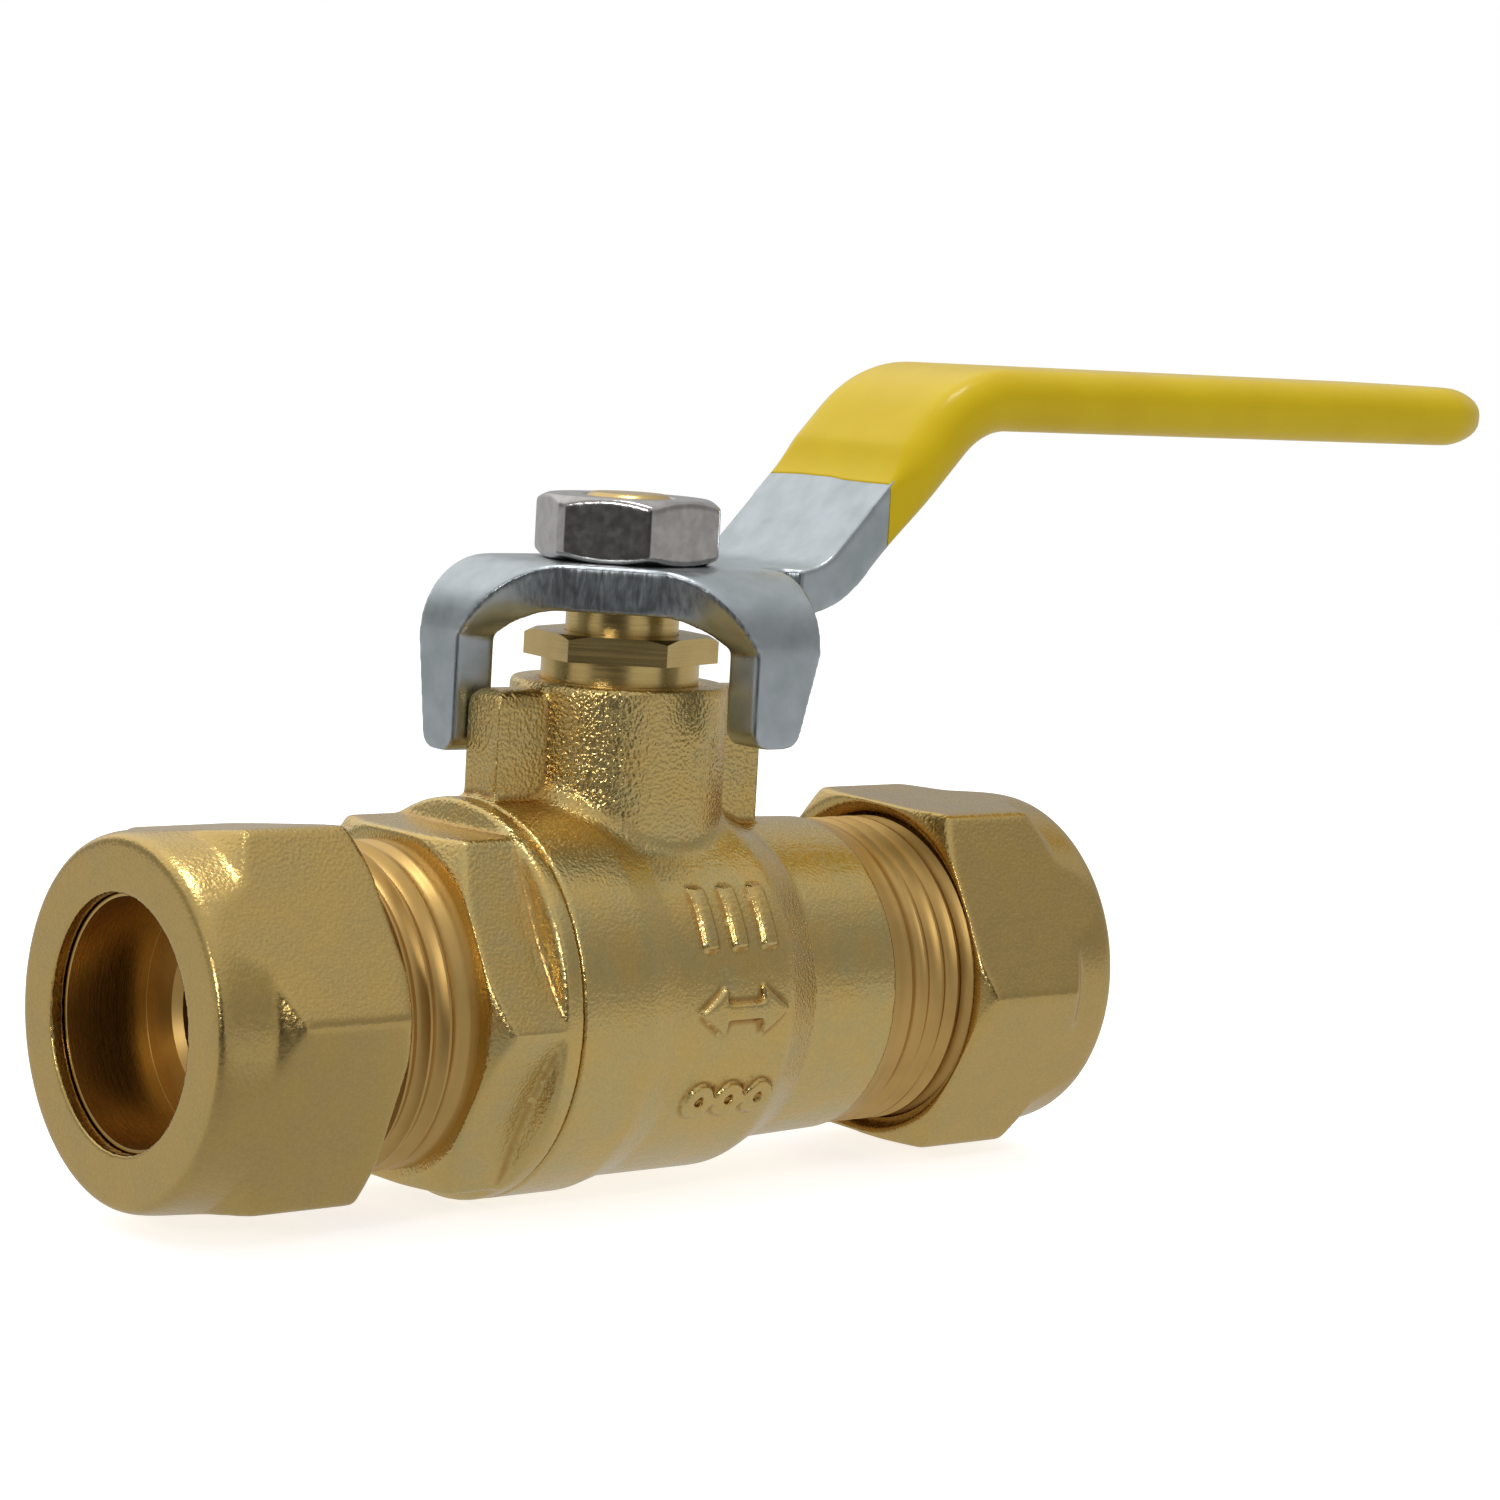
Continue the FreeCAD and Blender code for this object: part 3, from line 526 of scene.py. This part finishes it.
def olive_ring(name, side):
    """The compression ring, tapered at both ends and rounded where it shows inside the nut's lip."""
    start = shoulder_of(side) + OLIVE_START
    end = shoulder_of(side) + OLIVE_END
    around = 128
    profile = [
        (start, TUBE_SOCKET_RADIUS), (start, 7.64), (start + 0.85, OLIVE_RADIUS), (end - 1.6, OLIVE_RADIUS),
        (end - 1.2, 8.38), (end - 0.2, 7.93), (end - 0.06, 7.88), (end, 7.80), (end, 7.70),
        (end - 0.06, TUBE_SOCKET_RADIUS),
    ]
    count = len(profile)
    vertices = []
    faces = []
    for step in range(around):
        angle = 2 * math.pi * step / around
        for x, radius in profile:
            vertices.append((side * x, side * radius * math.cos(angle), radius * math.sin(angle)))
        here = step * count
        there = (step + 1) % around * count
        for j in range(count):
            after = (j + 1) % count
            faces.append((here + j, here + after, there + after, there + j))
    obj = mesh_object(name, vertices, faces)
    close_mesh(obj)
    obj.data.set_sharp_from_angle(angle=math.radians(40))
    return obj


# ---------------------------------------------------------------- dipped grip

def grip_line(distance):
    """A point on the lever's middle line and its direction, at a distance along it from the ramp's foot."""
    bend = math.radians(RAMP_ANGLE)
    ramp = Vector((math.cos(bend), 0, math.sin(bend)))
    level = Vector((1, 0, 0))
    foot = Vector((RAMP_FOOT_X, 0, PLATE_MIDDLE_Z))
    top = foot + ramp * ((GRIP_MIDDLE_Z - PLATE_MIDDLE_Z) / math.sin(bend))
    tangent = GRIP_BEND_RADIUS * math.tan(bend / 2)
    straight = (top - foot).length - tangent
    arc = GRIP_BEND_RADIUS * bend
    if distance < straight:
        return foot + ramp * distance, ramp
    if distance < straight + arc:
        angle = bend - (distance - straight) / GRIP_BEND_RADIUS
        centre = top + level * tangent - Vector((0, 0, GRIP_BEND_RADIUS))
        out = Vector((-math.sin(angle), 0, math.cos(angle)))
        return centre + out * GRIP_BEND_RADIUS, Vector((math.cos(angle), 0, math.sin(angle)))
    return top + level * (tangent + distance - straight - arc), level


def rounded_ring(half_width, half_height, corner):
    """Points round a rectangle with round corners, as (across, up), the same number on every ring."""
    points = []
    corner = max(0.02, min(corner, half_width - 0.01, half_height - 0.01))
    for quarter, (sx, sy) in enumerate(((1, 1), (-1, 1), (-1, -1), (1, -1))):
        centre = (sx * (half_width - corner), sy * (half_height - corner))
        for step in range(9):
            angle = math.pi / 2 * (quarter + step / 8)
            points.append((centre[0] + corner * math.cos(angle), centre[1] + corner * math.sin(angle)))
        ahead = ((-1, 1), (-1, -1), (1, -1), (1, 1))[quarter]
        target = (ahead[0] * (half_width - corner), ahead[1] * (half_height - corner))
        last = points[-1]
        turn = math.pi / 2 * (quarter + 1)
        goal = (target[0] + corner * math.cos(turn), target[1] + corner * math.sin(turn))
        for step in range(1, 8):
            share = step / 8
            points.append(tuple(a + (b - a) * share for a, b in zip(last, goal)))
    return points


def coat_ring(distance, start, finish, inside):
    """The coat's cross-section, outside or against the steel, at a distance along the lever."""
    growth = smooth_step((distance - start) / VINYL_GROWTH)
    thickness = 0.0 if inside else VINYL_EDGE + (VINYL - VINYL_EDGE) * growth
    half = LEVER_WIDTH / 2 + thickness
    high = SHEET / 2 + thickness
    corner = 0.3 if inside else 0.50 + 1.40 * growth
    past = max(0.0, LEVER_WIDTH / 2 + VINYL - (finish - distance))
    wide = corner * (1.0 + 0.55 * smooth_step(past / 4.0))
    bend_in = min(1.0, max(0.0, 1.0 - (half - past) / wide))
    top = high - corner + corner * math.sqrt(1.0 - bend_in ** 2)

    def reach(up, along, width):
        over = min(corner, max(0.0, abs(up) - high + corner))
        radius = half - width * (1.0 - math.sqrt(max(0.0, 1.0 - (over / corner) ** 2)))
        return math.sqrt(max(0.0, radius ** 2 - along ** 2))

    points = []
    for across, up in rounded_ring(half, high, corner):
        level = up * top / high
        points.append((across * reach(level, past, wide) / reach(up, 0.0, corner), level))
    return points


def grip_coat(name):
    """The vinyl coat: thin and uneven where the dip began, and fully round at its end."""
    slope = math.tan(math.radians(RAMP_ANGLE))
    start = (VINYL_START_X - RAMP_FOOT_X) / math.cos(math.radians(RAMP_ANGLE))
    end_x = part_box("grip_sleeve")[1][0] / MM
    finish = start
    while grip_line(finish)[0].x < end_x:
        finish += 0.01
    outer = [start + 0.10 * i for i in range(12)]
    level_start = start + 1.2
    level_rings = math.ceil((finish - TIP_LENGTH - level_start) / 0.6)
    outer += [level_start + 0.6 * i for i in range(level_rings)]
    tip = finish - outer[-1]
    outer += [finish - tip * math.cos(math.pi / 2 * (i + 1) / 44) ** 1.6 for i in range(43)]
    inner = [distance for distance in outer if finish - distance > HOLLOW_END]
    vertices = []
    for distances, inside in ((outer, False), (inner, True)):
        for distance in distances:
            shear = slope * (1.0 - smooth_step((distance - start) / 6.0))
            calm = 1.0 - smooth_step((distance - start) / 2.0)
            for across, up in coat_ring(distance, start, finish, inside):
                wave = calm * (0.10 * math.sin(across * 0.6 + 0.6) + 0.03 * math.sin(across * 1.7 + up))
                centre, along = grip_line(distance + up * shear + wave)
                over = Vector((-along.z, 0, along.x))
                vertices.append(centre + over * up + Vector((0, 1, 0)) * across)
    around = len(rounded_ring(1.0, 1.0, 0.3))
    rings = len(outer)
    last = rings + len(inner) - 1
    faces = []
    for ring in list(range(rings - 1)) + list(range(rings, last)):
        for step in range(around):
            a = ring * around + step
            b = ring * around + (step + 1) % around
            faces.append((a, b, b + around, a + around))
    for step in range(around):
        after = (step + 1) % around
        faces.append((step + rings * around, after + rings * around, after, step))
    faces.append(tuple((rings - 1) * around + step for step in range(around)))
    faces.append(tuple(last * around + step for step in range(around)))
    obj = mesh_object(name, vertices, faces)
    close_mesh(obj)
    obj.data.set_sharp_from_angle(angle=math.radians(50))
    return obj


# ---------------------------------------------------------------- pieces

def outside_wear(place):
    """Full wear on a nut's outside, little in its bores, whose lips are still crisp."""
    radius = math.hypot(place.y, place.z)
    if abs(place.x) > NUT_FRONT_X:
        return 0.10 + 0.90 * smooth_step((radius - 8.4) / 1.4)
    return 0.10 + 0.90 * smooth_step((radius - 10.8) / 0.6)


def end_cutter(side, start, length, radius):
    """A solid cylinder on one side of the valve, to cut its end or a hole in it."""
    low, high = sorted((side * start, side * (start + length)))
    return solid_tube(low, high, radius)


def build_valve():
    """The two forgings, each with its drawn thread."""
    body_cut = end_cutter(1, RIGHT_SHOULDER, THREAD_LENGTH + 1.0, THREAD_CLEAR)
    forging = soft_copy("valve_body", "valve_body_forging", 0.17, 5, body_cut)
    place_piece(forging, body_brass, "valve", ["valve_body"])
    thread = spigot("valve_body_thread", 1)
    place_piece(thread, thread_brass, "valve", [])
    cap_cut = end_cutter(-1, LEFT_SHOULDER, THREAD_LENGTH + 1.0, THREAD_CLEAR)
    cap = soft_copy("end_cap", "end_cap_forging", 0.15, 20, cap_cut)
    place_piece(cap, cap_brass, "valve", ["end_cap"])
    cap_thread = spigot("end_cap_thread", -1)
    place_piece(cap_thread, thread_brass, "valve", [])


def build_compression_ends():
    """Each end's nut with a wider lip, and its olive."""
    for side, sign in SIDES.items():
        node = "compression_nut_" + side
        lip_cut = end_cutter(sign, LIP_START_X, 3.0, LIP_RADIUS)
        nut = soft_copy(node, node + "_worn", 0.16, 26, lip_cut, outside_wear)
        place_piece(nut, nut_brass, side + "_nut", [node])
        ring = olive_ring("olive_%s_ring" % side, sign)
        place_piece(ring, olive_brass, side + "_olive", ["olive_" + side])


def build_handle():
    """The pressed lever with its coat and its nut."""
    lever_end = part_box("lever")[1][0] / MM
    hidden = solid_tube(lever_end - STEEL_END_SHRINK, lever_end + 5.0, LEVER_CUT_RADIUS)
    lever = soft_copy("lever", "lever_pressing", 0.16, 16, hidden)
    place_piece(lever, plate_steel, "handle", ["lever"])
    grip = grip_coat("grip_dip")
    place_piece(grip, vinyl, "handle", ["grip_sleeve"])
    top_nut = soft_copy("lever_nut", "lever_nut_worn", 0.10, 22)
    place_piece(top_nut, top_nut_steel, "handle", ["lever_nut"])


def build_inside():
    """The stem, the ball, the gland nut and the seals."""
    keep_node("gland_nut", gland_brass)
    keep_node("stem", gland_brass)
    polished = soft_copy("ball", "ball_polished", 0.2, 3)
    place_piece(polished, ball_chrome, "ball", ["ball"])
    keep_node("stem_o_ring", rubber)
    for name in ("body_seal_ring", "seat_ring_left", "seat_ring_right", "stem_thrust_washer",
                 "packing_ring_lower", "packing_ring_upper"):
        keep_node(name, ptfe)


# ---------------------------------------------------------------- studio

def studio_floor(floor_z):
    """A pale round floor that fades to white far from the object, and is clear from below."""
    around = 96
    radii = (0.0, 150.0, 400.0, 3000.0)
    vertices = [(0.0, 0.0, floor_z)]
    for radius in radii[1:]:
        for step in range(around):
            angle = 2 * math.pi * step / around
            vertices.append((radius * math.cos(angle), radius * math.sin(angle), floor_z))
    faces = [(0, 1 + step, 1 + (step + 1) % around) for step in range(around)]
    for ring in range(len(radii) - 2):
        for step in range(around):
            a = 1 + ring * around + step
            b = 1 + ring * around + (step + 1) % around
            faces.append((a, a + around, b + around, b))
    floor = mesh_object("studio_floor", vertices, faces)
    n = Nodes("studio_white")
    n.set(Base_Color=n.mix(n.noise(40.0, 2.0), (0.88, 0.88, 0.88), (0.90, 0.90, 0.90)), Roughness=0.9,
          Specular_IOR_Level=0.1)
    nodes = n.tree.nodes
    length = nodes.new("ShaderNodeVectorMath")
    length.operation = "LENGTH"
    n.link(n.coords, length.inputs[0])
    far = n.ramp(length.outputs["Value"], 0.15, 0.6, 0.0, 1.0)
    toward = nodes.new("ShaderNodeVectorMath")
    toward.operation = "DOT_PRODUCT"
    toward.inputs[1].default_value = DIM_SIDE
    n.link(n.coords, toward.inputs[0])
    glow = nodes.new("ShaderNodeEmission")
    spread = n.math("MULTIPLY", length.outputs["Value"], DIM_SPREAD)
    wedge = n.math("SUBTRACT", toward.outputs["Value"], spread)
    n.link(n.ramp(wedge, -0.005, 0.02, FLOOR_GLOW, FLOOR_DARK), glow.inputs["Strength"])
    lift = nodes.new("ShaderNodeEmission")
    lift.inputs["Strength"].default_value = FLOOR_LIFT
    lifted = nodes.new("ShaderNodeAddShader")
    n.link(n.shader.outputs[0], lifted.inputs[0])
    n.link(lift.outputs[0], lifted.inputs[1])
    white = nodes.new("ShaderNodeEmission")
    seen = n.blend(far, lifted.outputs[0], white.outputs[0])
    direct = nodes.new("ShaderNodeLightPath").outputs["Is Camera Ray"]
    above = n.blend(direct, glow.outputs[0], seen)
    clear = nodes.new("ShaderNodeBsdfTransparent")
    below = nodes.new("ShaderNodeNewGeometry").outputs["Backfacing"]
    n.link(n.blend(below, above, clear.outputs[0]), nodes["Material Output"].inputs["Surface"])
    floor.data.materials.append(n.material)


def soft_box(name, place, target, size, power):
    """A square area light at place, aimed at target, in millimetres and watts."""
    light = bpy.data.lights.new(name, "AREA")
    light.shape = "RECTANGLE"
    light.size = size[0] * MM
    light.size_y = size[1] * MM
    light.energy = power
    obj = bpy.data.objects.new(name, light)
    obj.location = Vector(place) * MM
    aim = (Vector(target) - Vector(place)).normalized()
    obj.rotation_euler = aim.to_track_quat("-Z", "Y").to_euler()
    bpy.context.scene.collection.objects.link(obj)


def build_world():
    """Soft surroundings: brighter overhead and behind the object, dim on the camera's side."""
    world = bpy.data.worlds.new("studio")
    world.use_nodes = True
    tree = world.node_tree
    way = tree.nodes.new("ShaderNodeTexCoord").outputs["Generated"]
    level = None
    for toward, inner, outer, value in ROOM:
        dot = tree.nodes.new("ShaderNodeVectorMath")
        dot.operation = "DOT_PRODUCT"
        dot.inputs[1].default_value = Vector(toward).normalized()
        tree.links.new(way, dot.inputs[0])
        share = tree.nodes.new("ShaderNodeMapRange")
        share.interpolation_type = "SMOOTHSTEP"
        share.inputs["From Min"].default_value = math.cos(math.radians(outer))
        share.inputs["From Max"].default_value = math.cos(math.radians(inner))
        tree.links.new(dot.outputs["Value"], share.inputs["Value"])
        blend = tree.nodes.new("ShaderNodeMix")
        blend.inputs["A"].default_value = ROOM_LEVEL
        blend.inputs["B"].default_value = value
        tree.links.new(share.outputs["Result"], blend.inputs["Factor"])
        if level:
            tree.links.new(level, blend.inputs["A"])
        level = blend.outputs["Result"]
    room = tree.nodes["Background"]
    tree.links.new(level, room.inputs["Strength"])
    room.inputs["Color"].default_value = (1.0, 1.0, 1.0, 1.0)
    white = tree.nodes.new("ShaderNodeBackground")
    white.inputs["Color"].default_value = (1.0, 1.0, 1.0, 1.0)
    both = tree.nodes.new("ShaderNodeMixShader")
    tree.links.new(tree.nodes.new("ShaderNodeLightPath").outputs["Is Camera Ray"], both.inputs[0])
    tree.links.new(room.outputs[0], both.inputs[1])
    tree.links.new(white.outputs[0], both.inputs[2])
    tree.links.new(both.outputs[0], tree.nodes["World Output"].inputs["Surface"])
    bpy.context.scene.world = world


def build_studio():
    """The floor under the valve, its surroundings and two soft lamps."""
    studio_floor(cad_bounds[0][2] / MM)
    build_world()
    centre = (5.0, 0.0, 8.0)
    soft_box("overhead", (40.0, 60.0, 700.0), centre, (160.0, 160.0), 1.0)
    soft_box("left_lamp", (-600.0, -300.0, 230.0), centre, (90.0, 90.0), 0.7)


def build_camera():
    """The camera, aimed by azimuth, dip and roll."""
    azimuth = math.radians(CAMERA_AZIMUTH)
    dip = math.radians(CAMERA_DIP)
    ahead = Vector((math.sin(azimuth) * math.cos(dip), math.cos(azimuth) * math.cos(dip), -math.sin(dip)))
    level = ahead.cross(Vector((0, 0, 1))).normalized()
    above = level.cross(ahead)
    roll = math.radians(CAMERA_ROLL)
    right = level * math.cos(roll) + above * math.sin(roll)
    up = above * math.cos(roll) - level * math.sin(roll)
    data = bpy.data.cameras.new("camera")
    data.lens = CAMERA_LENS
    data.sensor_width = 36.0
    data.clip_start = 0.01
    data.clip_end = 20.0
    camera = bpy.data.objects.new("camera", data)
    rotation = Matrix((right, up, -ahead)).transposed().to_4x4()
    camera.matrix_world = Matrix.Translation(Vector(CAMERA_PLACE) * MM) @ rotation
    bpy.context.scene.collection.objects.link(camera)
    bpy.context.scene.camera = camera


build_valve()
build_compression_ends()
build_handle()
build_inside()
build_studio()
build_camera()
bpy.context.scene.view_settings.view_transform = "Standard"
